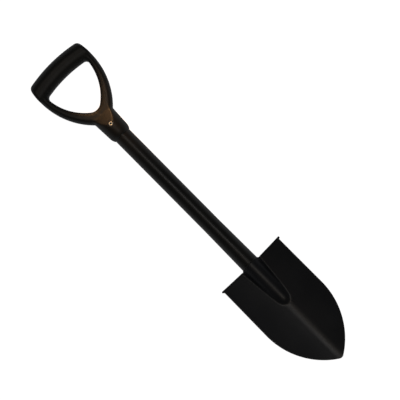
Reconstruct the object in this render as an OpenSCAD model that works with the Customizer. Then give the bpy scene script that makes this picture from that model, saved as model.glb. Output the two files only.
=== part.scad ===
// Round point shovel with a moulded D-grip, a steel tube and a pressed steel blade.
// Millimetres, +Z up. The shovel lies on its back with the blade's face up and the point towards +X.
// The origin is under the middle of the whole length, at the height of the grip's lowest point.

/* [Overall] */
// Length from the grip's crown to the blade's point
overall_l = 688; // [640:1:740]

/* [Shaft] */
// Outside diameter of the tube
tube_d = 31; // [29:0.5:32]
// Wall thickness of the tube
tube_wall = 1.5; // [1.2:0.1:2]
// Outside diameter of the flared lower end
flare_d = 33.2; // [32.5:0.1:34]
// Length over which the tube widens to the flared diameter
flare_l = 89; // [60:1:110]
// How far the flared end reaches under the blade, along its upper side
tail_l = 82; // [70:1:85]

/* [Blade] */
// Width across the straight sides
blade_w = 127.6; // [120:0.2:136]
// Length along the blade from the step to the point
blade_l = 214; // [205:1:225]
// Length of the straight sides
side_l = 103.5; // [95:0.5:108]
// Radius of the point
point_r = 7.5; // [4:0.5:10]
// Thickness of the sheet
sheet_t = 1.6; // [1.4:0.1:2]
// Depth of the dish at the straight sides
dish_d = 14; // [11:0.5:16]
// Angle by which the point is lifted from the shaft's line
lift = 11.5; // [10.5:0.1:12.5]
// Depth of the turned step under the face
step_d = 11; // [9:0.5:12]
// How far each end of the step stands out past the side
step_ear = 3.2; // [2:0.2:4]

/* [Grip] */
// Greatest width across the arms
grip_w = 118.8; // [114:0.2:122]
// Radius of the crown's arc
crown_r = 268; // [240:4:280]
// Thickness of the crossbar, seen from the front
bar_w = 34.5; // [32:0.5:36]
// Depth of the crossbar, from front to back
bar_t = 32; // [30:0.5:34]
// Depth of the arms, from front to back
arm_t = 23; // [20:0.5:24]
// Diameter of the neck where it meets the arms
neck_d = 41.6; // [40:0.2:43]
// Diameter of the neck at its lower end
neck_end_d = 38.6; // [37:0.2:39]
// Depth of the tube's socket in the neck
socket_l = 36; // [30:1:38]

/* [Rivet] */
// Diameter of the rivet's shank
shank_d = 4.8; // [4:0.1:5.2]
// Outside diameter of the rolled tail
roll_d = 7; // [6.6:0.1:7.6]
// Diameter of the hole in the rivet's tail
tail_hole_d = 2.8; // [2.4:0.1:3]
// Diameter of the domed head
head_d = 9; // [8:0.5:10]

/* [Hidden] */
$fn = 128;
far = 400;
fit_clear = 0.1;

// Grip. Names that end in _g are distances from the crown.
neck_top_g = 129.8;
neck_end_g = 170.5;
neck_chamfer_l = 5.5;
neck_chamfer = 2.8;
// The arms lie between two large discs, whose centres are on the far side of the grip
arm_g = 36;
arm_r = 126;
arm_offset = arm_r - grip_w / 2;
bar_edge_r = 15;
bar_end_r = 6;
// The hand opening: its sides are arcs too
gap_g = bar_w;
gap_half_w = 46.6;
gap_side_r = 93;
gap_offset = gap_side_r - gap_half_w;
gap_corner_r = 6.6;
gap_bottom_r = 10.5;
gap_bottom_g = gap_g + sqrt(pow(gap_side_r - gap_bottom_r, 2) - gap_offset * gap_offset);
// Flat slopes run from the arms up to the neck, at the front and at the back
slope_start_g = 122;
slope_end_g = 145;

// Radius of the neck at a distance from the crown
function neck_r(g) =
    (neck_d + (neck_end_d - neck_d) * (g - neck_top_g) / (neck_end_g - neck_chamfer_l - neck_top_g)) / 2;

// Rivet, with its seats cut into the neck
rivet_g = 145;
front_seat_z = 19.4;
front_seat_r = 4.3;
back_seat_z = 18;
back_seat_r = 5.2;
roll_r = (roll_d - tail_hole_d) / 4;
head_h = 1.9;
tail_hole_l = 9;

// Frame: the neck rests on the ground just below the rivet's seat
axis_z = neck_r(rivet_g + back_seat_r);
crown_x = -overall_l / 2;
rivet_x = crown_x + rivet_g;
step_x = overall_l / 2 - blade_l * cos(lift) - sheet_t * sin(lift);

// Blade: at the step, the face's middle line lies a little under the shaft's axis
face_drop = 0.5;
half_w = blade_w / 2;
// The face's cross-section is a round valley between two flanks, which curve gently up to the sides
valley_r = 45;
valley_turn = 10;
flank_start = valley_r * [sin(valley_turn), 1 - cos(valley_turn)];
flank_run = [half_w, dish_d] - flank_start;
flank_turn = 2 * (atan2(flank_run[1], flank_run[0]) - valley_turn);
flank_r = norm(flank_run) / (2 * sin(flank_turn / 2));
flank_c = flank_start + flank_r * [-sin(valley_turn), cos(valley_turn)];
flank_extra = 1;
point_l = blade_l - side_l;
side_r = (pow(point_l - point_r, 2) + half_w * half_w - point_r * point_r) / (2 * (half_w - point_r));
frog_r = flare_d / 2 + fit_clear;
frog_lap = 0.5;
// The step's outer side stands out in front of the frog's mouth, and clears the tube
step_set = 0.8;
step_notch_r = frog_r + 3;

// Shaft: the tail's cut leans, so the tube's lower side ends earlier by the slant
shaft_top_x = crown_x + neck_end_g - socket_l;
flare_end_x = step_x - 3;
tail_slant_l = 62;
tail_slope = tail_slant_l / flare_d;

// Weld beads
mouth_bead_l = 1.8;
mouth_bead_w = 1.5;
side_bead_w = 2.6;
side_bead_start = 3;
side_bead_end = 66;

// Helpers

// The point where two circles meet, on the side of +Y
function circles_meet(a, ra, b, rb) =
    let (gap = norm(b - a), u = (b - a) / gap)
    let (along = (gap * gap + ra * ra - rb * rb) / (2 * gap))
    a + along * u + sqrt(ra * ra - along * along) * [-u[1], u[0]];

// Points along an arc, from one angle to another
function arc(c, r, a0, a1, n) = [
    for (i = [0 : n])
        let (a = a0 + (a1 - a0) * i / n)
        c + r * [cos(a), sin(a)]
];

// Direction from one point to another, in degrees
function heading(a, b) = atan2(b[1] - a[1], b[0] - a[0]);

// Places children on the shaft's axis, with their Z along the frame's X
module on_shaft(x) {
    translate([x, 0, axis_z]) rotate([0, 90, 0]) children();
}

// Places children in the blade's frame: X along the blade from the step, Z out of the face
module on_blade() {
    translate([step_x, 0, axis_z - face_drop]) rotate([0, -lift, 0]) children();
}

// Places children in the grip's frame: X from the crown, Z out of the front
module on_grip() {
    translate([crown_x, 0, axis_z]) children();
}

// Blade

// One side of the blade's flat outline, from the end of its straight side round to the point
function blade_side() =
    let (side_c = [side_l, half_w - side_r], point_c = [blade_l - point_r, 0])
    let (turn = heading(side_c, point_c))
    concat([[0, half_w]], arc(side_c, side_r, 90, turn, 36), arc(point_c, point_r, turn, 0, 6));

// Flat outline of the blade, with the step at X = 0
module blade_outline() {
    side = blade_side();
    last = len(side) - 1;
    polygon(concat(side, [for (i = [last - 1 : -1 : 0]) [side[i][0], -side[i][1]]]));
}

// Half of the face's cross-section, moved down by a distance, from the middle to past the side
function face_half(drop) =
    let (flank_end = 270 + valley_turn + flank_turn + flank_extra)
    concat(
        arc([0, valley_r], valley_r + drop, 270, 270 + valley_turn, 6),
        arc(flank_c, flank_r + drop, 270 + valley_turn, flank_end, 12)
    );

// Space above the face, which starts lower by a distance
module above_face(drop) {
    half = face_half(drop);
    last = len(half) - 1;
    side = half[last][0];
    top = 5 * dish_d;
    translate([-10, 0, 0]) rotate([90, 0, 90]) linear_extrude(blade_l + 20) polygon(concat(
        half,
        [[side, top], [-side, top]],
        [for (i = [last : -1 : 1]) [-half[i][0], half[i][1]]]
    ));
}

// All of the blade's frame between two distances from the step
module blade_slab(from, to) {
    translate([from, -far / 2, -far / 2]) cube([to - from, far, far]);
}

// Layer between two distances under the face
module under_face(from, to) {
    difference() {
        above_face(to);
        above_face(from);
    }
}

module blade_sheet() {
    intersection() {
        under_face(0, sheet_t);
        translate([0, 0, -10]) linear_extrude(dish_d + 14) blade_outline();
    }
}

// Edge turned down at the top of the blade, for the foot to press on
module blade_step() {
    step_w = blade_w + 2 * step_ear;
    step_h = step_d + 2 * dish_d;
    intersection() {
        under_face(0, step_d);
        translate([-step_set, -step_w / 2, -step_d - 1]) cube([sheet_t, step_w, step_h]);
    }
}

// Round space that the tube lies in, grown by a distance
module tube_space(grow) {
    on_shaft(step_x - 20) cylinder(r = frog_r + grow, h = blade_l);
}

// Raised rib over the tube's end: it fades out where the lifted face rises above it
module frog() {
    intersection() {
        difference() {
            tube_space(sheet_t);
            on_shaft(step_x - 21) cylinder(r = frog_r, h = blade_l + 2);
        }
        on_blade() above_face(sheet_t);
        on_blade() blade_slab(0, blade_l - 20);
    }
}

module blade() {
    color("#17181b") union() {
        difference() {
            on_blade() blade_sheet();
            tube_space(frog_lap);
        }
        difference() {
            on_blade() blade_step();
            tube_space(step_notch_r - frog_r);
        }
        frog();
    }
}

// Shaft

// The tube as a solid bar, its surface moved inwards and its ends moved outwards
module shaft_bar(inset, overrun) {
    flare_end = flare_end_x - shaft_top_x;
    end = step_x + tail_l + 10 + overrun - shaft_top_x;
    top_r = tube_d / 2 - inset;
    flare_r = flare_d / 2 - inset;
    on_shaft(shaft_top_x) rotate_extrude() polygon([
        [0, -overrun],
        [top_r, -overrun],
        [top_r, flare_end - flare_l],
        [flare_r, flare_end],
        [flare_r, end],
        [0, end]
    ]);
}

// Everything past the slanted cut at the tail
module tail_cut() {
    reach = flare_d;
    translate([step_x + tail_l, 0, axis_z + flare_d / 2]) rotate([90, 0, 0])
        linear_extrude(2 * flare_d, center = true) polygon([
            [tail_slope * flare_d / 2, flare_d / 2],
            [-tail_slope * 1.5 * flare_d, -1.5 * flare_d],
            [reach, -1.5 * flare_d],
            [reach, flare_d / 2]
        ]);
}

module rivet_bore() {
    translate([0, 0, -neck_d]) cylinder(d = shank_d + 2 * fit_clear, h = 2 * neck_d);
}

module shaft() {
    color("#1b1b1c") difference() {
        shaft_bar(0, 0);
        shaft_bar(tube_wall, 1);
        tail_cut();
        translate([rivet_x, 0, axis_z]) rivet_bore();
    }
}

// Welds

// Ring round the tube's flared end, from the tube's surface outwards
module tube_ring(w) {
    on_shaft(step_x - 20) difference() {
        cylinder(d = flare_d + 2 * w, h = blade_l);
        translate([0, 0, -1]) cylinder(d = flare_d, h = blade_l + 2);
    }
}

// Bead across the frog's mouth
module mouth_weld() {
    color("#1d1d1e") intersection() {
        tube_ring(mouth_bead_w);
        on_blade() translate([-mouth_bead_l, -far / 2, -sheet_t]) cube([mouth_bead_l, far, far]);
    }
}

// Beads where the tube's sides meet the blade's back
module side_welds() {
    color("#1d1d1e") intersection() {
        tube_ring(side_bead_w);
        on_blade() under_face(sheet_t, sheet_t + side_bead_w);
        on_blade() blade_slab(side_bead_start, side_bead_end);
    }
}

// Grip

// Disc with a rounded rim, lying in the grip's plane
module rim_disc(r, t, edge) {
    rotate_extrude() union() {
        translate([0, -t / 2]) square([r - edge, t]);
        translate([0, edge - t / 2]) square([r, t - 2 * edge]);
        translate([r - edge, t / 2 - edge]) circle(edge, $fn = 64);
        translate([r - edge, edge - t / 2]) circle(edge, $fn = 64);
    }
}

// Space inside both of the two large discs that bound the arms
module between_arms(t, edge) {
    intersection() {
        translate([arm_g, arm_offset, 0]) mirror([0, 1, 0]) rim_disc(arm_r, t, edge);
        translate([arm_g, -arm_offset, 0]) rim_disc(arm_r, t, edge);
    }
}

// Outline of the hand opening: a shallow arc under the bar, two long arcs and a round bottom
function gap_half() =
    let (bar_c = [crown_r, 0], bar_r = crown_r - gap_g)
    let (side_c = [gap_g, -gap_offset])
    let (corner_c = circles_meet(side_c, gap_side_r - gap_corner_r, bar_c, bar_r - gap_corner_r))
    let (bottom_c = [gap_bottom_g, 0])
    concat(
        arc(bar_c, bar_r, 180, heading(bar_c, corner_c), 12),
        arc(corner_c, gap_corner_r, 180, heading(side_c, corner_c), 8),
        arc(side_c, gap_side_r, heading(side_c, corner_c), heading(side_c, bottom_c), 24),
        arc(bottom_c, gap_bottom_r, heading(side_c, bottom_c), 0, 6)
    );

module gap_outline() {
    polygon(gap_half());
    mirror([0, 1, 0]) polygon(gap_half());
}

module grip_bar() {
    flat_w = bar_w - 2 * bar_edge_r;
    flat_t = bar_t - 2 * bar_edge_r;
    mid_r = crown_r - bar_w / 2;
    intersection() {
        translate([crown_r, 0, 0]) rotate([0, 0, 160]) rotate_extrude(angle = 40, $fn = 256)
            translate([mid_r, 0]) union() {
                square([bar_w, flat_t], center = true);
                square([flat_w, bar_t], center = true);
                for (i = [-1, 1], j = [-1, 1])
                    translate([i * flat_w / 2, j * flat_t / 2]) circle(bar_edge_r, $fn = 64);
            }
        between_arms(bar_t, bar_end_r);
    }
}

module grip_arms() {
    intersection() {
        between_arms(arm_t, arm_t / 2 - 2);
        translate([bar_w / 2, -grip_w, -arm_t]) cube([neck_top_g + 6 - bar_w / 2, 2 * grip_w, 2 * arm_t]);
    }
}

// Neck, with flat front and back slopes that run down from it to the arms
module grip_neck() {
    top_g = gap_bottom_g + gap_bottom_r + 3;
    over = neck_d / 2 + 1;
    intersection() {
        rotate([0, 90, 0]) rotate_extrude() polygon([
            [0, top_g],
            [neck_d / 2, top_g],
            [neck_d / 2, neck_top_g],
            [neck_end_d / 2, neck_end_g - neck_chamfer_l],
            [neck_end_d / 2 - neck_chamfer, neck_end_g],
            [0, neck_end_g]
        ]);
        rotate([90, 0, 0]) linear_extrude(2 * neck_d, center = true) polygon([
            [slope_start_g, arm_t / 2],
            [slope_end_g, neck_r(slope_end_g)],
            [neck_end_g + 1, over],
            [neck_end_g + 1, -over],
            [slope_end_g, -neck_r(slope_end_g)],
            [slope_start_g, -arm_t / 2]
        ]);
    }
}

module grip() {
    color("#1c1b19") on_grip() difference() {
        union() {
            grip_bar();
            grip_arms();
            grip_neck();
        }
        translate([0, 0, -neck_d]) linear_extrude(2 * neck_d) gap_outline();
        translate([neck_end_g - socket_l, 0, 0]) rotate([0, 90, 0])
            cylinder(d = tube_d + 2 * fit_clear, h = socket_l + 1);
        translate([rivet_g, 0, 0]) rivet_bore();
        translate([rivet_g, 0, front_seat_z]) cylinder(r = front_seat_r, h = 5);
        translate([rivet_g, 0, -back_seat_z - 5]) cylinder(r = back_seat_r, h = 5);
    }
}

// Rivet

module grip_rivet() {
    head_r = (head_d * head_d / 4 + head_h * head_h) / (2 * head_h);
    color("#cfc8b4") translate([rivet_x, 0, axis_z]) {
        difference() {
            union() {
                translate([0, 0, -back_seat_z]) cylinder(d = shank_d, h = back_seat_z + front_seat_z);
                translate([0, 0, front_seat_z]) rotate_extrude() translate([roll_d / 2 - roll_r, 0])
                    intersection() {
                        circle(roll_r, $fn = 48);
                        translate([-roll_r, 0]) square([2 * roll_r, roll_r]);
                    }
                intersection() {
                    translate([0, 0, -back_seat_z - head_h + head_r]) sphere(head_r);
                    translate([0, 0, -back_seat_z - head_h]) cylinder(d = head_d, h = head_h);
                }
            }
            translate([0, 0, front_seat_z - tail_hole_l]) cylinder(d = tail_hole_d, h = tail_hole_l + 5);
        }
    }
}

blade();
shaft();
mouth_weld();
side_welds();
grip();
grip_rivet();
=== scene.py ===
import math

import bmesh
import bpy
import numpy as np
from mathutils import Matrix, Vector, noise


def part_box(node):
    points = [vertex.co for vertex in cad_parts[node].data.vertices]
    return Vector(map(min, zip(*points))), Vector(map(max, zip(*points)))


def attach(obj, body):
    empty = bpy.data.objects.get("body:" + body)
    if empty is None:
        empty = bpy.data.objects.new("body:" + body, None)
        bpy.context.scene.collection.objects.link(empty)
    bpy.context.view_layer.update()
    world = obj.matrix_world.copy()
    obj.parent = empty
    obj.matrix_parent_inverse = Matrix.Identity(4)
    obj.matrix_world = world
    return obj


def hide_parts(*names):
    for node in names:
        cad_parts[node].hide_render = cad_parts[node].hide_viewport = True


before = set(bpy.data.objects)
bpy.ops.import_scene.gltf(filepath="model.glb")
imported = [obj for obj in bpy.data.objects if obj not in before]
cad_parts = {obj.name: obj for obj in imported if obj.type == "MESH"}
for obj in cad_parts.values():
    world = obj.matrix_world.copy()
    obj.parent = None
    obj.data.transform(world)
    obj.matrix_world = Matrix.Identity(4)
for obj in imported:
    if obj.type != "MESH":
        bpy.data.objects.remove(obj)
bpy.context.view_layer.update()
MM = 0.001


# ---------------------------------------------------------------- places, in millimetres, from the frame

def node_box(node):
    """Low and high corner of a CAD node, in millimetres."""
    low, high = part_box(node)
    return np.array(low) / MM, np.array(high) / MM


grip_low, grip_high = node_box("grip")
shaft_low, shaft_high = node_box("shaft")
blade_low, blade_high = node_box("blade")
rivet_low, rivet_high = node_box("grip_rivet")

CROWN_X = grip_low[0]
AXIS_Z = (shaft_low[2] + shaft_high[2]) / 2

# Blade
LIFT = math.radians(11.5)
BLADE_L = 214
HALF_W = 63.8
SIDE_L = 103.5
POINT_R = 7.5
SHEET_T = 1.6
DISH_D = 14
VALLEY_R = 45
VALLEY_TURN = math.radians(10)
FACE_DROP = 0.5
STEP_X = blade_high[0] - BLADE_L * math.cos(LIFT) - SHEET_T * math.sin(LIFT)

# Tube, at its flared end
FLARE_R = 16.6


# ---------------------------------------------------------------- making meshes

def finish_piece(name, vertices, faces, material, nodes):
    """A smooth shaded mesh object, from points in millimetres, that stands for CAD nodes."""
    mesh = bpy.data.meshes.new(name)
    mesh.from_pydata((np.asarray(vertices) * MM).tolist(), [], [list(f) for f in faces])
    mesh.validate()
    mesh.shade_smooth()
    mesh.materials.append(material)
    piece = bpy.data.objects.new(name, mesh)
    bpy.context.scene.collection.objects.link(piece)
    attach(piece, "root")
    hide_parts(*nodes)
    return piece


def grid_faces(rows, columns, wrap=False):
    """Quads of a grid of vertices, numbered row by row."""
    faces = []
    for row in range(rows - 1):
        here, above = row * columns, (row + 1) * columns
        for c in range(columns if wrap else columns - 1):
            right = (c + 1) % columns
            faces.append((here + c, here + right, above + right, above + c))
    return faces


def round_max(a, b, r):
    """Distance to what two shapes share, with the edge between them rounded."""
    return np.minimum(np.maximum(a, b), -r) + np.hypot(np.maximum(a + r, 0), np.maximum(b + r, 0))


def round_min(a, b, r):
    """Distance to two shapes joined, with the corner between them filled to a radius."""
    return np.maximum(np.minimum(a, b), r) - np.hypot(np.maximum(r - a, 0), np.maximum(r - b, 0))


def surface_nets(shape, low, high, cell):
    """Vertices and quads of the surface where shape(x, y, z) is zero, which is negative inside."""
    low = np.asarray(low, float) - cell
    counts = np.ceil((np.asarray(high) + cell - low) / cell).astype(int) + 1
    axes = [low[k] + cell * np.arange(counts[k]) for k in range(3)]
    value = shape(*np.meshgrid(*axes, indexing="ij"))
    size = counts - 1
    total = np.zeros((size.prod(), 3))
    hits = np.zeros(size.prod())
    quads = []
    for k in range(3):
        unit = np.eye(3, dtype=int)
        u, v = unit[(k + 1) % 3], unit[(k + 2) % 3]
        start = [slice(None)] * 3
        stop = [slice(None)] * 3
        start[k], stop[k] = slice(0, -1), slice(1, None)
        a, b = value[tuple(start)], value[tuple(stop)]
        edge = np.argwhere((a < 0) != (b < 0))
        near, far = a[tuple(edge.T)], b[tuple(edge.T)]
        point = low + cell * (edge + (near / (near - far))[:, None] * unit[k])
        ring = []
        for offset in (u + v, v, 0 * u, u):
            flat = np.ravel_multi_index(tuple((edge - offset).T), size)
            ring.append(flat)
            hits += np.bincount(flat, minlength=len(hits))
            for axis in range(3):
                total[:, axis] += np.bincount(flat, point[:, axis], len(hits))
        ring = np.array(ring).T
        ring[near >= 0] = ring[near >= 0][:, ::-1]
        quads.append(ring)
    used = hits > 0
    number = np.cumsum(used) - 1
    return total[used] / hits[used][:, None], number[np.concatenate(quads)]


def pull_onto(shape, points, passes=5, probe=0.02, reach=0.45):
    """Moves points along the shape's slope until they lie on its surface."""
    for _ in range(passes):
        here = shape(*points.T)
        slope = np.stack([
            (shape(*(points + probe * axis).T) - shape(*(points - probe * axis).T)) / (2 * probe)
            for axis in np.eye(3)
        ], 1)
        step = here[:, None] * slope / np.maximum((slope ** 2).sum(1), 0.05)[:, None]
        length = np.linalg.norm(step, axis=1)[:, None]
        points = points - step * np.minimum(1, reach / np.maximum(length, 1e-9))
    return points


# ---------------------------------------------------------------- materials

BUMP_STRENGTH = 0.3
COAT_SPECULAR = 0.32


class Nodes:
    """Adds and links the nodes of one material."""

    def __init__(self, name):
        self.material = bpy.data.materials.new(name)
        self.material.use_nodes = True
        self.tree = self.material.node_tree
        self.shader = self.tree.nodes["Principled BSDF"]
        self.place = self.add("ShaderNodeTexCoord").outputs["Object"]

    def add(self, kind, **values):
        node = self.tree.nodes.new(kind)
        for key, value in values.items():
            setattr(node, key, value)
        return node

    def link(self, source, target):
        self.tree.links.new(source, target)

    def stretched(self, scale):
        mapping = self.add("ShaderNodeMapping")
        mapping.inputs["Scale"].default_value = scale
        self.link(self.place, mapping.inputs["Vector"])
        return mapping.outputs["Vector"]

    def noise(self, scale, detail=2, place=None):
        node = self.add("ShaderNodeTexNoise")
        node.inputs["Scale"].default_value = scale
        node.inputs["Detail"].default_value = detail
        self.link(place or self.place, node.inputs["Vector"])
        return node.outputs["Fac"]

    def ramp(self, value, stops):
        node = self.add("ShaderNodeValToRGB")
        elements = node.color_ramp.elements
        for element, (position, colour) in zip(elements, stops):
            element.position = position
            element.color = (*colour, 1)
        for position, colour in stops[2:]:
            elements.new(position).color = (*colour, 1)
        self.link(value, node.inputs["Fac"])
        return node.outputs["Color"]

    def span(self, value, low, high, out_low, out_high):
        node = self.add("ShaderNodeMapRange")
        for key, number in zip(("From Min", "From Max", "To Min", "To Max"), (low, high, out_low, out_high)):
            node.inputs[key].default_value = number
        self.link(value, node.inputs["Value"])
        return node.outputs["Result"]

    def mix(self, amount, first, second):
        node = self.add("ShaderNodeMix", data_type="RGBA")
        for source, target in ((amount, node.inputs[0]), (first, node.inputs[6]), (second, node.inputs[7])):
            if isinstance(source, tuple):
                target.default_value = (*source, 1)
            else:
                self.link(source, target)
        return node.outputs[2]

    def join(self, kind, first, second):
        node = self.add("ShaderNodeMath", operation=kind)
        for source, target in zip((first, second), node.inputs):
            if isinstance(source, float):
                target.default_value = source
            else:
                self.link(source, target)
        return node.outputs["Value"]

    def finish(self, colour, roughness, height, relief):
        """Links the results up, with a bump of so many millimetres."""
        self.link(colour, self.shader.inputs["Base Color"])
        self.link(roughness, self.shader.inputs["Roughness"])
        bump = self.add("ShaderNodeBump")
        bump.inputs["Strength"].default_value = BUMP_STRENGTH
        bump.inputs["Distance"].default_value = relief * MM
        self.link(height, bump.inputs["Height"])
        self.link(bump.outputs["Normal"], self.shader.inputs["Normal"])
        return self.material


def powder_coat(name, dark, light, scuff_stretch, rough):
    """Satin black powder coat: orange peel, faint dull patches and a few fine rubbed marks."""
    nodes = Nodes(name)
    patches = nodes.noise(18, 3)
    colour = nodes.ramp(patches, [(0.3, dark), (0.75, light)])
    streaks = nodes.noise(1, 3, nodes.stretched(scuff_stretch))
    places = nodes.noise(26, 2)
    drawn, near = nodes.span(streaks, 0.66, 0.74, 0, 1), nodes.span(places, 0.55, 0.66, 0, 1)
    scuffs = nodes.join("MULTIPLY", drawn, near)
    rubbed = tuple(2.2 * c for c in light)
    colour = nodes.mix(nodes.join("MULTIPLY", scuffs, 0.5), colour, rubbed)
    dust = nodes.span(nodes.noise(420, 2), 0.7, 0.78, 0, 0.35)
    colour = nodes.mix(dust, colour, tuple(1.8 * c for c in light))
    gloss = nodes.span(patches, 0.3, 0.7, rough - 0.03, rough + 0.04)
    gloss = nodes.join("SUBTRACT", gloss, nodes.join("MULTIPLY", scuffs, 0.06))
    peel = nodes.join("ADD", nodes.noise(520, 2), nodes.noise(1300, 1))
    nodes.shader.inputs["Specular IOR Level"].default_value = COAT_SPECULAR
    return nodes.finish(colour, gloss, peel, 0.16)


def moulded_plastic():
    """Black moulded plastic: a fine satin grain, flow marks and handling polish."""
    nodes = Nodes("moulded_black_plastic")
    flow = nodes.noise(24, 4)
    colour = nodes.ramp(flow, [(0.3, (0.0070, 0.0068, 0.0056)), (0.75, (0.0105, 0.0100, 0.0082))])
    worn = nodes.span(nodes.noise(11, 2), 0.45, 0.65, 0, 1)
    gloss = nodes.span(worn, 0, 1, 0.47, 0.41)
    dust = nodes.span(nodes.noise(380, 2), 0.7, 0.78, 0, 0.3)
    colour = nodes.mix(dust, colour, (0.022, 0.021, 0.018))
    grain = nodes.join("ADD", nodes.noise(900, 2), nodes.noise(2400, 1))
    nodes.shader.inputs["Specular IOR Level"].default_value = COAT_SPECULAR
    return nodes.finish(colour, gloss, grain, 0.10)


def plated_steel(name, dark, light):
    """Dull plating on the rivet, with draw marks and a few dark specks. Given near-black colours, it also
    makes the painted shade inside the rivet's hole.
    """
    nodes = Nodes(name)
    cloud = nodes.noise(700, 3)
    colour = nodes.ramp(cloud, [(0.3, dark), (0.7, light)])
    specks = nodes.span(nodes.noise(2200, 2), 0.68, 0.76, 0, 0.5)
    colour = nodes.mix(specks, colour, (0.22, 0.19, 0.14))
    nodes.shader.inputs["Metallic"].default_value = 0.8
    return nodes.finish(colour, nodes.span(cloud, 0.3, 0.7, 0.42, 0.55), nodes.noise(1500, 2), 0.05)


# The third tuple sets how finely the rubbed marks are drawn out along X, Y and Z
blade_coat = powder_coat(
    "powder_coat_blade", (0.0118, 0.0124, 0.0148), (0.0148, 0.0156, 0.0184), (40, 420, 40), 0.33
)
tube_coat = powder_coat(
    "powder_coat_tube", (0.0110, 0.0106, 0.0098), (0.0145, 0.0142, 0.0132), (30, 380, 380), 0.32
)
weld_coat = powder_coat(
    "powder_coat_weld", (0.0110, 0.0108, 0.0104), (0.0150, 0.0146, 0.0140), (200, 200, 200), 0.42
)
plastic = moulded_plastic()
steel = plated_steel("dull_plated_steel", (0.78, 0.72, 0.58), (0.95, 0.91, 0.80))
# Near-black copy of the plating for the faces inside the rivet's hole: painted shade in that recess
rivet_hole_shade_steel = plated_steel("rivet_hole_painted_shade", (0.035, 0.030, 0.022), (0.06, 0.05, 0.04))


# ---------------------------------------------------------------- grip

CROWN_R = 268
BAR_W = 34.5
BAR_T = 32
BAR_EDGE_R = 15
BAR_END_R = 5
GRIP_HALF = (grip_high[1] - grip_low[1]) / 2
ARM_G = 36
ARM_R = 126
ARM_T = 23
ARM_CROWN = 1.8
ARM_OUTER_R = 8
ARM_INNER_R = 3
GAP_G = 33.5
GAP_R = 93.3
GAP_HALF = 46.6
GAP_BOTTOM_R = 10.5
CORNER_R = 6
NECK_TOP = 129.8
NECK_END = grip_high[0] - grip_low[0]
NECK_TOP_R = 20.8
NECK_END_R = 19.3
NECK_CHAMFER_L = 5.5
NECK_CHAMFER = 2.6
SLOPE_START = 122
SLOPE_END = 145
SOCKET_L = 33
SOCKET_R = 15.6
RIVET_G = 145
RIVET_HOLE_R = 2.5
FRONT_SEAT_Z = 19.4
FRONT_SEAT_R = 4.6
BACK_SEAT_Z = 18
BACK_SEAT_R = 5.4
SEAT_EDGE = 0.3
GRIP_CELL = 0.9


def neck_radius(g):
    """Radius of the neck's cone at a distance from the crown."""
    return NECK_TOP_R + (NECK_END_R - NECK_TOP_R) * (g - NECK_TOP) / (NECK_END - NECK_CHAMFER_L - NECK_TOP)


def grip_shape(g, y, z):
    """Distance to the grip's surface, g from the crown, y across and z out of its front."""
    a, c = np.abs(y), np.abs(z)
    inwards = np.hypot(g - CROWN_R, y)
    beyond_side = np.hypot(g - ARM_G, a + ARM_R - GRIP_HALF) - ARM_R
    gap_left = np.hypot(g - GAP_G, y + GAP_R - GAP_HALF) - GAP_R
    gap_right = np.hypot(g - GAP_G, y - GAP_R + GAP_HALF) - GAP_R
    gap = np.maximum(round_max(gap_left, gap_right, GAP_BOTTOM_R), BAR_W / 3 - g)

    # Arms: their faces are crowned between the outer and the inner edge
    across = np.clip((gap + beyond_side) / (np.abs(gap) + np.abs(beyond_side) + 1), -1, 1)
    face = c - (ARM_T / 2 - ARM_CROWN * across ** 2)
    arms = round_max(beyond_side, face, ARM_OUTER_R)
    arms = round_max(arms, -gap, ARM_INNER_R)
    arms = round_max(arms, inwards - (CROWN_R - BAR_W / 3), 6)
    arms = np.maximum(arms, g - (NECK_TOP + 4))

    # Crossbar
    bar_r = np.abs(inwards - (CROWN_R - BAR_W / 2)) - (BAR_W / 2 - BAR_EDGE_R)
    bar_z = c - (BAR_T / 2 - BAR_EDGE_R)
    bar = np.hypot(np.maximum(bar_r, 0), np.maximum(bar_z, 0)) + np.minimum(np.maximum(bar_r, bar_z), 0)
    bar = round_max(bar - BAR_EDGE_R, beyond_side, BAR_END_R)
    corner = CORNER_R * np.clip(-beyond_side / 12 - 0.2, 0.02, 1)
    grip = round_min(arms, bar, corner)

    # Neck, with a flat slope at the front and the back
    from_axis = np.hypot(y, z)
    slope = math.atan2(neck_radius(SLOPE_END) - ARM_T / 2, SLOPE_END - SLOPE_START)
    neck = from_axis - neck_radius(g)
    neck = round_max(neck, (c - ARM_T / 2) * math.cos(slope) - (g - SLOPE_START) * math.sin(slope), 1.2)
    chamfer = math.atan2(NECK_CHAMFER, NECK_CHAMFER_L)
    end_r = NECK_END_R - NECK_CHAMFER
    neck = round_max(neck, (from_axis - end_r) * math.cos(chamfer) - (NECK_END - g) * math.sin(chamfer), 1.5)
    neck = round_max(neck, g - NECK_END, 0.4)
    neck = round_max(neck, c - (AXIS_Z - 0.03), 0.5)
    neck = np.maximum(neck, NECK_TOP - 14 - g)
    blend = 0.5 + 3.5 * np.clip(a / 20, 0, 1) ** 2 * np.clip(-beyond_side / 6, 0.1, 1)
    grip = round_min(grip, neck, blend)

    # Socket, rivet hole and the seats round the rivet's ends
    socket = np.maximum(from_axis - SOCKET_R, NECK_END - SOCKET_L - g)
    grip = round_max(grip, -socket, SEAT_EDGE)
    from_rivet = np.hypot(g - RIVET_G, y)
    grip = np.maximum(grip, RIVET_HOLE_R - from_rivet)
    grip = round_max(grip, -np.maximum(from_rivet - FRONT_SEAT_R, FRONT_SEAT_Z - z), SEAT_EDGE)
    return round_max(grip, -np.maximum(from_rivet - BACK_SEAT_R, BACK_SEAT_Z + z), SEAT_EDGE)


def make_grip():
    cell = GRIP_CELL
    low = (0, -GRIP_HALF, -neck_radius(NECK_TOP))
    high = (NECK_END, GRIP_HALF, neck_radius(NECK_TOP))
    points, quads = surface_nets(grip_shape, low, high, cell)
    points = pull_onto(grip_shape, points)
    points = points + (CROWN_X, 0, AXIS_Z)
    return finish_piece("moulded_grip", points, quads, plastic, ["grip"])


# ---------------------------------------------------------------- blade

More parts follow.
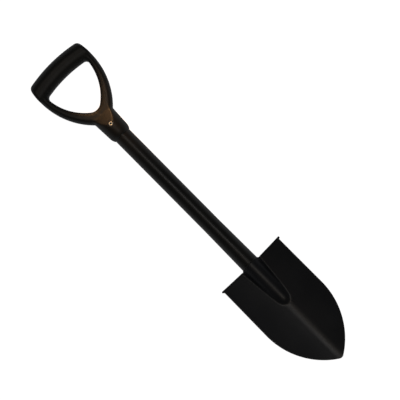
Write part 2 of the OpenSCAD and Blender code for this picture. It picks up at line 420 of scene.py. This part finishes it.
flank_start = VALLEY_R * np.array([math.sin(VALLEY_TURN), 1 - math.cos(VALLEY_TURN)])
flank_run = np.array([HALF_W, DISH_D]) - flank_start
flank_turn = 2 * (math.atan2(flank_run[1], flank_run[0]) - VALLEY_TURN)
FLANK_R = np.hypot(*flank_run) / (2 * math.sin(flank_turn / 2))
FLANK_C = flank_start + FLANK_R * np.array([-math.sin(VALLEY_TURN), math.cos(VALLEY_TURN)])

FROG_R = 18.3
FROG_SIDE = math.radians(60)
FROG_RISE = 1.3
NOSE_START = 78
NOSE_END = 97
FROG_FILLET = 2.5
STEP_OUT = 0.8
STEP_D = 11
STEP_BEND = 2.4
STEP_HALF = 66.5
NOTCH = 20.2
TIP_TRIM = 0.12
SHEET_EDGE = 0.45
MERGE = 0.02

# Rows of the blade's grid
FLANGE_ROWS = 6
BEND_ROWS = 6
STEP_ROWS = FLANGE_ROWS + BEND_ROWS
TIP_ROWS = 48


def dish_height(y):
    """Height of the plain face over its middle line: a round valley between two flanks."""
    a = np.abs(y)
    valley = VALLEY_R - np.sqrt(np.maximum(VALLEY_R ** 2 - a ** 2, 0))
    flank = FLANK_C[1] - np.sqrt(FLANK_R ** 2 - (a - FLANK_C[0]) ** 2)
    return np.where(a < flank_start[0], valley, flank)


def frog_height(s, y):
    """Height of the rib over the tube's end, before it is blended into the face."""
    a = np.abs(y)
    knee = FROG_R * math.sin(FROG_SIDE)
    top = np.sqrt(FROG_R ** 2 - np.minimum(a, knee) ** 2) - FROG_R
    side = np.maximum(a - knee, 0) * math.tan(FROG_SIDE)
    crest = (FROG_R + FACE_DROP - s * math.sin(LIFT)) / math.cos(LIFT) + FROG_RISE * s / NOSE_START
    nose = np.clip((s - NOSE_START) / (NOSE_END - NOSE_START), 0, None)
    drop = 8 * nose ** 2
    return crest + top - side - drop


def face_height(s, y):
    """Height of the face with the frog blended into it."""
    dish, frog = dish_height(y), frog_height(s, y)
    blend = np.clip(0.5 + (frog - dish) / (2 * FROG_FILLET), 0, 1)
    return dish + (frog - dish) * blend + FROG_FILLET * blend * (1 - blend)


def side_at(s):
    """Half of the blade's width at a distance from the step."""
    side_r = ((BLADE_L - SIDE_L - POINT_R) ** 2 + HALF_W ** 2 - POINT_R ** 2) / (2 * (HALF_W - POINT_R))
    turn = math.atan2(side_r - HALF_W, BLADE_L - POINT_R - SIDE_L)
    point_s = BLADE_L - POINT_R + POINT_R * math.cos(turn)
    side = HALF_W - side_r + np.sqrt(np.maximum(side_r ** 2 - np.maximum(s - SIDE_L, 0) ** 2, 0))
    point = np.sqrt(np.maximum(POINT_R ** 2 - (s - BLADE_L + POINT_R) ** 2, 0))
    ear = np.clip(1 - (s - STEP_BEND) / (STEP_HALF - HALF_W), 0, 1)
    ears = (STEP_HALF - HALF_W) * (1 - np.sqrt(1 - ear ** 2))
    return np.where(s > point_s, point, side) + ears


def spaced(start, stop, spacing):
    """Places from start to stop, with spacing(place) between neighbours."""
    places = [start]
    while places[-1] < stop:
        places.append(places[-1] + spacing(places[-1]))
    places = np.array(places)
    return start + (places - start) * (stop - start) / (places[-1] - start)


def blade_points(s, y, h):
    """Points in the frame, from places along, across and out of the blade's face."""
    x = STEP_X + s * math.cos(LIFT) - h * math.sin(LIFT)
    z = AXIS_Z - FACE_DROP + s * math.sin(LIFT) + h * math.cos(LIFT)
    return np.stack(np.broadcast_arrays(x, y, z), -1)


def blade_columns():
    """Places across the blade, and which of them lie in the step's notch round the tube."""
    inner = spaced(0, NOTCH, lambda y: 1.3 if y < 11 else 0.8)
    outer = spaced(NOTCH, HALF_W, lambda y: 0.9 if y < 27 else 2.4)
    half = np.concatenate([inner, outer])
    columns = np.concatenate([-half[::-1], half[1:]])
    middle = len(half) - 1
    in_notch = np.zeros(len(columns), bool)
    in_notch[middle - len(inner) + 1:middle + len(inner)] = True
    return columns, in_notch


def blade_rows():
    """Places (along, down) for each row: the step's flange, its bend, the straight sides and the tip."""
    rows = []
    for down in np.linspace(STEP_D, STEP_BEND, FLANGE_ROWS):
        rows.append((-STEP_OUT, -down))
    for turn in np.linspace(0, math.pi / 2, BEND_ROWS + 1)[1:]:
        rows.append((STEP_BEND * (1 - math.cos(turn)) - STEP_OUT, STEP_BEND * (math.sin(turn) - 1)))
    along = spaced(STEP_BEND - STEP_OUT, SIDE_L, lambda s: 0.8 if s < 8 or 76 < s < 100 else 2.2)
    for s in along[1:]:
        rows.append((s, 0.0))
    for s in SIDE_L + (BLADE_L - TIP_TRIM - SIDE_L) * np.sin(np.linspace(0, math.pi / 2, TIP_ROWS)[1:]):
        rows.append((s, 0.0))
    return rows


def widened(columns, width):
    """Columns spread to a new half width: only the part outside the notch moves."""
    share = np.clip((np.abs(columns) - NOTCH) / (HALF_W - NOTCH), 0, 1)
    return columns + np.sign(columns) * (width - HALF_W) * share


def blade_grid(rows, columns, in_notch):
    """Points of the face, whose first rows are the turned step. In the notch these rows stay flat."""
    points = np.zeros((len(rows), len(columns), 3))
    for r, (s, down) in enumerate(rows):
        in_step = r < STEP_ROWS
        width = STEP_HALF if in_step else side_at(max(s, STEP_BEND))
        y = widened(columns, width) if s < SIDE_L else columns * width / HALF_W
        along = np.full(len(columns), s)
        height = face_height(max(s, 0), y)
        if in_step:
            flat = max((r - FLANGE_ROWS) / BEND_ROWS * (STEP_BEND - STEP_OUT), 0)
            along = np.where(in_notch, flat, s)
            height = np.where(in_notch, face_height(flat, y), height + down)
        points[r] = blade_points(along, y, height)
    return points


def add_blade_faces(mesh, rows, columns, in_notch):
    """Quads of the grid. The step's rows get their own vertices at the notch's two edges."""
    verts = [[mesh.verts.new(p * MM) for p in row] for row in blade_grid(rows, columns, in_notch)]
    notch = np.flatnonzero(in_notch)
    left, right = notch[0], notch[-1]
    edge_verts = {}

    def step_vert(r, c):
        if c not in (left, right) or r >= STEP_ROWS:
            return verts[r][c]
        if (r, c) not in edge_verts:
            s, down = rows[r]
            point = blade_points(s, columns[c], face_height(0, columns[c]) + down)
            edge_verts[r, c] = mesh.verts.new(point * MM)
        return edge_verts[r, c]

    for r in range(len(rows) - 1):
        for c in range(len(columns) - 1):
            inside = left <= c < right
            if inside and r < FLANGE_ROWS:
                continue
            corners = ((r, c), (r, c + 1), (r + 1, c + 1), (r + 1, c))
            if inside or r >= STEP_ROWS:
                mesh.faces.new([verts[row][column] for row, column in corners])
            else:
                mesh.faces.new([step_vert(*corner) for corner in corners])


def build_blade():
    """The pressed sheet: the grid of its upper side, then its thickness and its broken edges."""
    mesh = bmesh.new()
    add_blade_faces(mesh, blade_rows(), *blade_columns())
    bmesh.ops.remove_doubles(mesh, verts=mesh.verts, dist=MERGE * MM)
    loose = [v for v in mesh.verts if not v.link_faces]
    bmesh.ops.delete(mesh, geom=loose, context="VERTS")
    bmesh.ops.recalc_face_normals(mesh, faces=mesh.faces)
    data = bpy.data.meshes.new("pressed_blade")
    mesh.to_mesh(data)
    mesh.free()
    if sum(p.normal.z * p.area for p in data.polygons) < 0:
        data.flip_normals()
    data.shade_smooth()
    data.materials.append(blade_coat)
    piece = bpy.data.objects.new("pressed_blade", data)
    bpy.context.scene.collection.objects.link(piece)
    solid = piece.modifiers.new("thickness", "SOLIDIFY")
    solid.thickness = SHEET_T * MM
    solid.offset = -1
    solid.use_even_offset = True
    edge = piece.modifiers.new("edges", "BEVEL")
    edge.width = SHEET_EDGE * MM
    edge.segments = 2
    edge.limit_method = "ANGLE"
    edge.angle_limit = math.radians(50)
    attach(piece, "root")
    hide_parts("blade")
    return piece


# ---------------------------------------------------------------- welds and rivet

BEAD_PITCH = 1.7
BEAD_POINTS = 18
BEAD_END = 1.5
SIDE_WELD_START = 9
SIDE_WELD_END = 64.5
SIDE_WELD_GAP = 0.7


def bead(name, path, outward, along, width, height, nodes):
    """A weld bead swept along a path, with the ripples that the moving torch leaves."""
    path = np.array(path)
    run = np.concatenate([[0], np.cumsum(np.linalg.norm(np.diff(path, axis=0), axis=1))])
    rows = []
    ring = np.linspace(0, 2 * math.pi, BEAD_POINTS, endpoint=False)
    for k, centre in enumerate(path):
        phase = (run[k] / BEAD_PITCH) % 1
        wave = 1 - 0.16 * (2 * phase - 1) ** 2
        wander = 1 + 0.07 * noise.noise(Vector((run[k] * 0.35, len(name), 0)))
        end = min(run[k], run[-1] - run[k])
        taper = math.sqrt(max(0.02, 1 - max(0, 1 - end / BEAD_END) ** 2))
        size = wave * wander * taper
        side, up = along[k], outward[k]
        rows.append([centre + size * (width * math.cos(t) * side + height * math.sin(t) * up) for t in ring])
    points = np.array(rows).reshape(-1, 3)
    faces = grid_faces(len(path), len(ring), wrap=True)
    caps = [list(range(len(ring)))[::-1], [len(points) - len(ring) + k for k in range(len(ring))]]
    return finish_piece(name, points, faces + caps, weld_coat, nodes)


def axis_height(s):
    """Height of the tube's axis over the blade's line, in the blade's frame."""
    return (FACE_DROP - s * math.sin(LIFT)) / math.cos(LIFT)


def make_mouth_weld():
    """Bead over the tube, along the front of the blade's step."""
    start_turn = math.radians(-4)
    turns = np.linspace(start_turn, math.pi - start_turn, 150)
    middle = -0.95
    path, outward, along = [], [], []
    for turn in turns:
        y, up = FLARE_R * math.cos(turn), FLARE_R * math.sin(turn)
        h = axis_height(middle) + up / math.cos(LIFT)
        path.append(blade_points(middle, y, h))
        outward.append(np.array([0, math.cos(turn), math.sin(turn)]))
        along.append(np.array([math.cos(LIFT), 0, math.sin(LIFT)]))
    return bead("weld_bead_mouth", path, outward, along, 0.82, 1.35, ["mouth_weld"])


def make_side_weld(name, hand):
    """Bead under the blade, where its back meets one side of the tube."""
    path, outward, along = [], [], []
    reach = FLARE_R + SIDE_WELD_GAP
    ys = np.linspace(6, 22, 400)
    lean = 0.5
    for s in np.arange(SIDE_WELD_START, SIDE_WELD_END, 0.4):
        steepness = np.hypot(1, np.gradient(face_height(s, ys), ys))
        under = face_height(s, ys) - (SHEET_T + 0.75) * steepness - axis_height(s)
        k = np.argmin(np.abs(np.hypot(ys, under * math.cos(LIFT)) - reach))
        turn = math.atan2(ys[k], under[k] * math.cos(LIFT)) - lean
        path.append(blade_points(s, hand * ys[k], under[k] + axis_height(s)))
        outward.append(np.array([0, hand * math.cos(turn), -math.sin(turn)]))
        along.append(np.array([0, hand * math.sin(turn), math.cos(turn)]))
    return bead(name, path, outward, along, 1.25, 1.15, ["side_welds"])


def lathe(name, profile, centre, material, nodes, wobble=0.0, segments=56):
    """A turned piece round the vertical line through its centre, from (radius, height) places."""
    points = []
    for radius, height in profile:
        for k in range(segments):
            turn = 2 * math.pi * k / segments
            shift = noise.noise(Vector((math.cos(turn) * 1.5, math.sin(turn) * 1.5, 7)))
            r = max(radius, 0.01) * (1 + wobble * shift * min(1, radius / 2))
            points.append((r * math.cos(turn), r * math.sin(turn), height))
    faces = grid_faces(len(profile), segments, wrap=True)
    last = len(points) - segments
    faces += [list(range(segments))[::-1], [last + k for k in range(segments)]]
    return finish_piece(name, np.array(points) + centre, faces, material, nodes)


def make_rivet():
    """Semi-tubular rivet: a low domed head at the back and a rolled ring at the front."""
    seat, back = FRONT_SEAT_Z, -BACK_SEAT_Z
    head_r, head_h = 4.5, 1.9
    shank_r, hole_r, roll = 2.4, 1.4, 1.05
    profile = []
    for t in np.linspace(0, math.pi / 2, 9):
        profile.append((head_r * math.sin(t), back - 0.25 - (head_h - 0.25) * math.cos(t)))
    profile += [(head_r, back - 0.1), (head_r - 0.1, back), (shank_r + 0.1, back), (shank_r, back + 0.1)]
    profile += [(shank_r, seat - 0.1), (shank_r + 0.05, seat)]
    for t in np.linspace(-0.1, math.pi + 0.15, 11):
        profile.append((shank_r + 0.05 + roll * math.cos(t), seat + roll * max(math.sin(t), 0) + 0.02))
    profile += [(hole_r, seat - 0.5), (hole_r - 0.02, seat - 8.8), (hole_r - 0.2, seat - 9), (0, seat - 9)]
    centre = ((rivet_low[0] + rivet_high[0]) / 2, 0, AXIS_Z)
    rivet = lathe("semi_tubular_rivet", profile, centre, steel, ["grip_rivet"], 0.02)
    rivet.data.materials.append(rivet_hole_shade_steel)
    # Faces inside the front of the hole get the near-black copy: painted shade in the recess
    for polygon in rivet.data.polygons:
        middle = polygon.center / MM - Vector(centre)
        if middle.z > 0 and middle.xy.length < hole_r + 0.05:
            polygon.material_index = 1
    return rivet


make_grip()
build_blade()
make_mouth_weld()
make_side_weld("weld_bead_side_right", -1)
make_side_weld("weld_bead_side_left", 1)
make_rivet()
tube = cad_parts["shaft"]
tube.data.materials.clear()
tube.data.materials.append(tube_coat)


# ---------------------------------------------------------------- camera, floor and light

VIEW_TURN = math.radians(45.28)
VIEW_AT = (-0.0042, 0.0160)
VIEW_HEIGHT = 1.8
VIEW_FIELD = 0.6728

SENSOR = 36
FLOOR_HALF = 12


def make_camera():
    """Looks straight down, as the photograph does, turned so that the shovel lies on its diagonal."""
    camera = bpy.data.objects.new("camera", bpy.data.cameras.new("camera"))
    camera.data.sensor_width = SENSOR
    camera.data.lens = SENSOR * VIEW_HEIGHT / VIEW_FIELD
    camera.data.clip_end = 10
    camera.location = (*VIEW_AT, VIEW_HEIGHT + AXIS_Z * MM)
    camera.rotation_euler = (0, 0, VIEW_TURN)
    bpy.context.scene.collection.objects.link(camera)
    bpy.context.scene.camera = camera


def make_floor():
    """A plain white floor. Glossy surfaces don't mirror it, because the photo's shovel has no pale rims."""
    mesh = bpy.data.meshes.new("floor")
    corners = [(x * FLOOR_HALF, y * FLOOR_HALF, 0) for x, y in ((-1, -1), (1, -1), (1, 1), (-1, 1))]
    mesh.from_pydata(corners, [], [(0, 1, 2, 3)])
    floor = bpy.data.objects.new("floor", mesh)
    bpy.context.scene.collection.objects.link(floor)
    nodes = Nodes("white_floor")
    shade = nodes.ramp(nodes.noise(3), [(0.3, (0.90, 0.90, 0.90)), (0.7, (0.93, 0.93, 0.93))])
    nodes.link(shade, nodes.shader.inputs["Base Color"])
    nodes.link(shade, nodes.shader.inputs["Emission Color"])
    nodes.shader.inputs["Emission Strength"].default_value = 1.04
    nodes.shader.inputs["Roughness"].default_value = 0.9
    mesh.materials.append(nodes.material)
    floor.visible_glossy = False


def soft_light(name, target, direction, distance, size, power, colour):
    """A rectangular soft box that faces its target."""
    light = bpy.data.lights.new(name, "AREA")
    light.shape = "RECTANGLE"
    light.size, light.size_y = size
    light.energy = power
    light.color = colour
    lamp = bpy.data.objects.new(name, light)
    out = Vector(direction).normalized()
    up = out.cross(Vector((1, 0, 0))).normalized()
    side = up.cross(out).normalized()
    lamp.location = Vector(target) + out * distance
    lamp.rotation_mode = "QUATERNION"
    lamp.rotation_quaternion = Matrix((side, up, out)).transposed().to_quaternion()
    lamp.visible_camera = False
    bpy.context.scene.collection.objects.link(lamp)
    return lamp


# Brightness of the surroundings
HORIZON = 0.32
OVERHEAD = 0.05


def make_world():
    """A dark studio ceiling that gets lighter towards the horizon."""
    world = bpy.data.worlds.new("studio")
    bpy.context.scene.world = world
    world.use_nodes = True
    tree = world.node_tree
    place = tree.nodes.new("ShaderNodeTexCoord").outputs["Generated"]
    split = tree.nodes.new("ShaderNodeSeparateXYZ")
    tree.links.new(place, split.inputs["Vector"])
    fade = tree.nodes.new("ShaderNodeMapRange")
    fade.interpolation_type = "SMOOTHSTEP"
    for key, number in zip(("From Min", "From Max", "To Min", "To Max"), (0.05, 0.5, HORIZON, OVERHEAD)):
        fade.inputs[key].default_value = number
    tree.links.new(split.outputs["Z"], fade.inputs["Value"])
    back = tree.nodes["Background"]
    back.inputs["Color"].default_value = (0.95, 0.97, 1, 1)
    tree.links.new(fade.outputs["Result"], back.inputs["Strength"])


def make_lights():
    """Strips along the tube and over the blade, and a small warm card by the neck."""
    middle = (0, 0, 0)
    soft_light("strip_over_tube", middle, (-0.05, 0.12, 1), 1.5, (0.62, 0.20), 1.05, (0.98, 0.98, 1))
    soft_light("strip_over_socket", middle, (0.24, 0.02, 1), 1.5, (0.28, 0.18), 0.62, (1, 0.85, 0.68))
    soft_light("strip_handle_end", middle, (-0.29, -0.02, 1), 2.4, (0.55, 0.50), 1.75, (1, 0.86, 0.68))
    neck = (-0.214, 0.020, 0.032)
    warm = soft_light("warm_card", neck, (-0.78, 0.30, 1), 0.20, (0.06, 0.06), 0.015, (1, 0.54, 0.24))
    warm.data.spread = math.radians(34)


make_camera()
make_floor()
make_world()
make_lights()
bpy.context.scene.view_settings.view_transform = "Standard"
